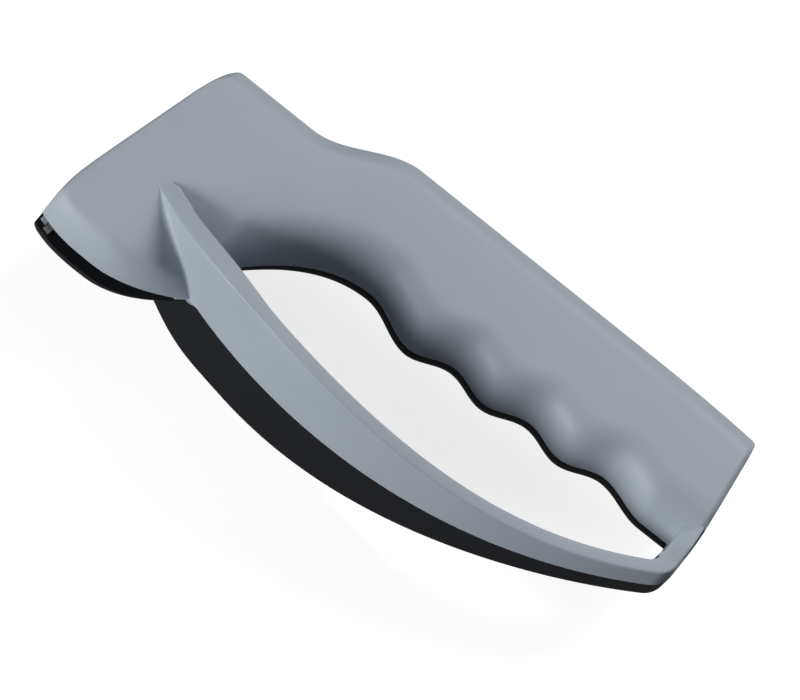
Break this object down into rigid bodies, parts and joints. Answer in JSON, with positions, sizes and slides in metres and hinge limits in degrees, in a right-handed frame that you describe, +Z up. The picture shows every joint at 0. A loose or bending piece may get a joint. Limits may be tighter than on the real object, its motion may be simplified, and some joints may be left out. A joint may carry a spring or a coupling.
{
  "type": "pull through knife sharpener",
  "caption": "Hand-held pull through knife sharpener: flat head with a knife mouth and crossed carbide plates, bowed hand guard and a handle with finger grooves.",
  "frame": {"origin": "on the ground under the middle of the length and width, at the level of the guard's lower crest", "axes": "+X from the head to the tail, +Y from the guard to the handle's back, +Z up from the black shell to the grey shell, square to the parting plane"},
  "size_m": [0.1398, 0.0603, 0.0368],
  "materials": {
    "grey_plastic": "fine satin texture, light blue-grey",
    "black_plastic": "fine satin texture, black",
    "carbide": "ground tungsten carbide",
    "holder_plastic": "as moulded, black",
    "clamp_steel": "zinc plated sheet",
    "screw_steel": "zinc plated"
  },
  "bodies": {
    "root": {"top_shell": "grey_plastic", "bottom_shell": "black_plastic", "carbide_plate_upper": "carbide", "carbide_plate_lower": "carbide", "plate_holder": "holder_plastic", "plate_clamp": "clamp_steel", "plate_clamp_screws": "screw_steel", "housing_screws": "screw_steel"}
  },
  "joints": []
}
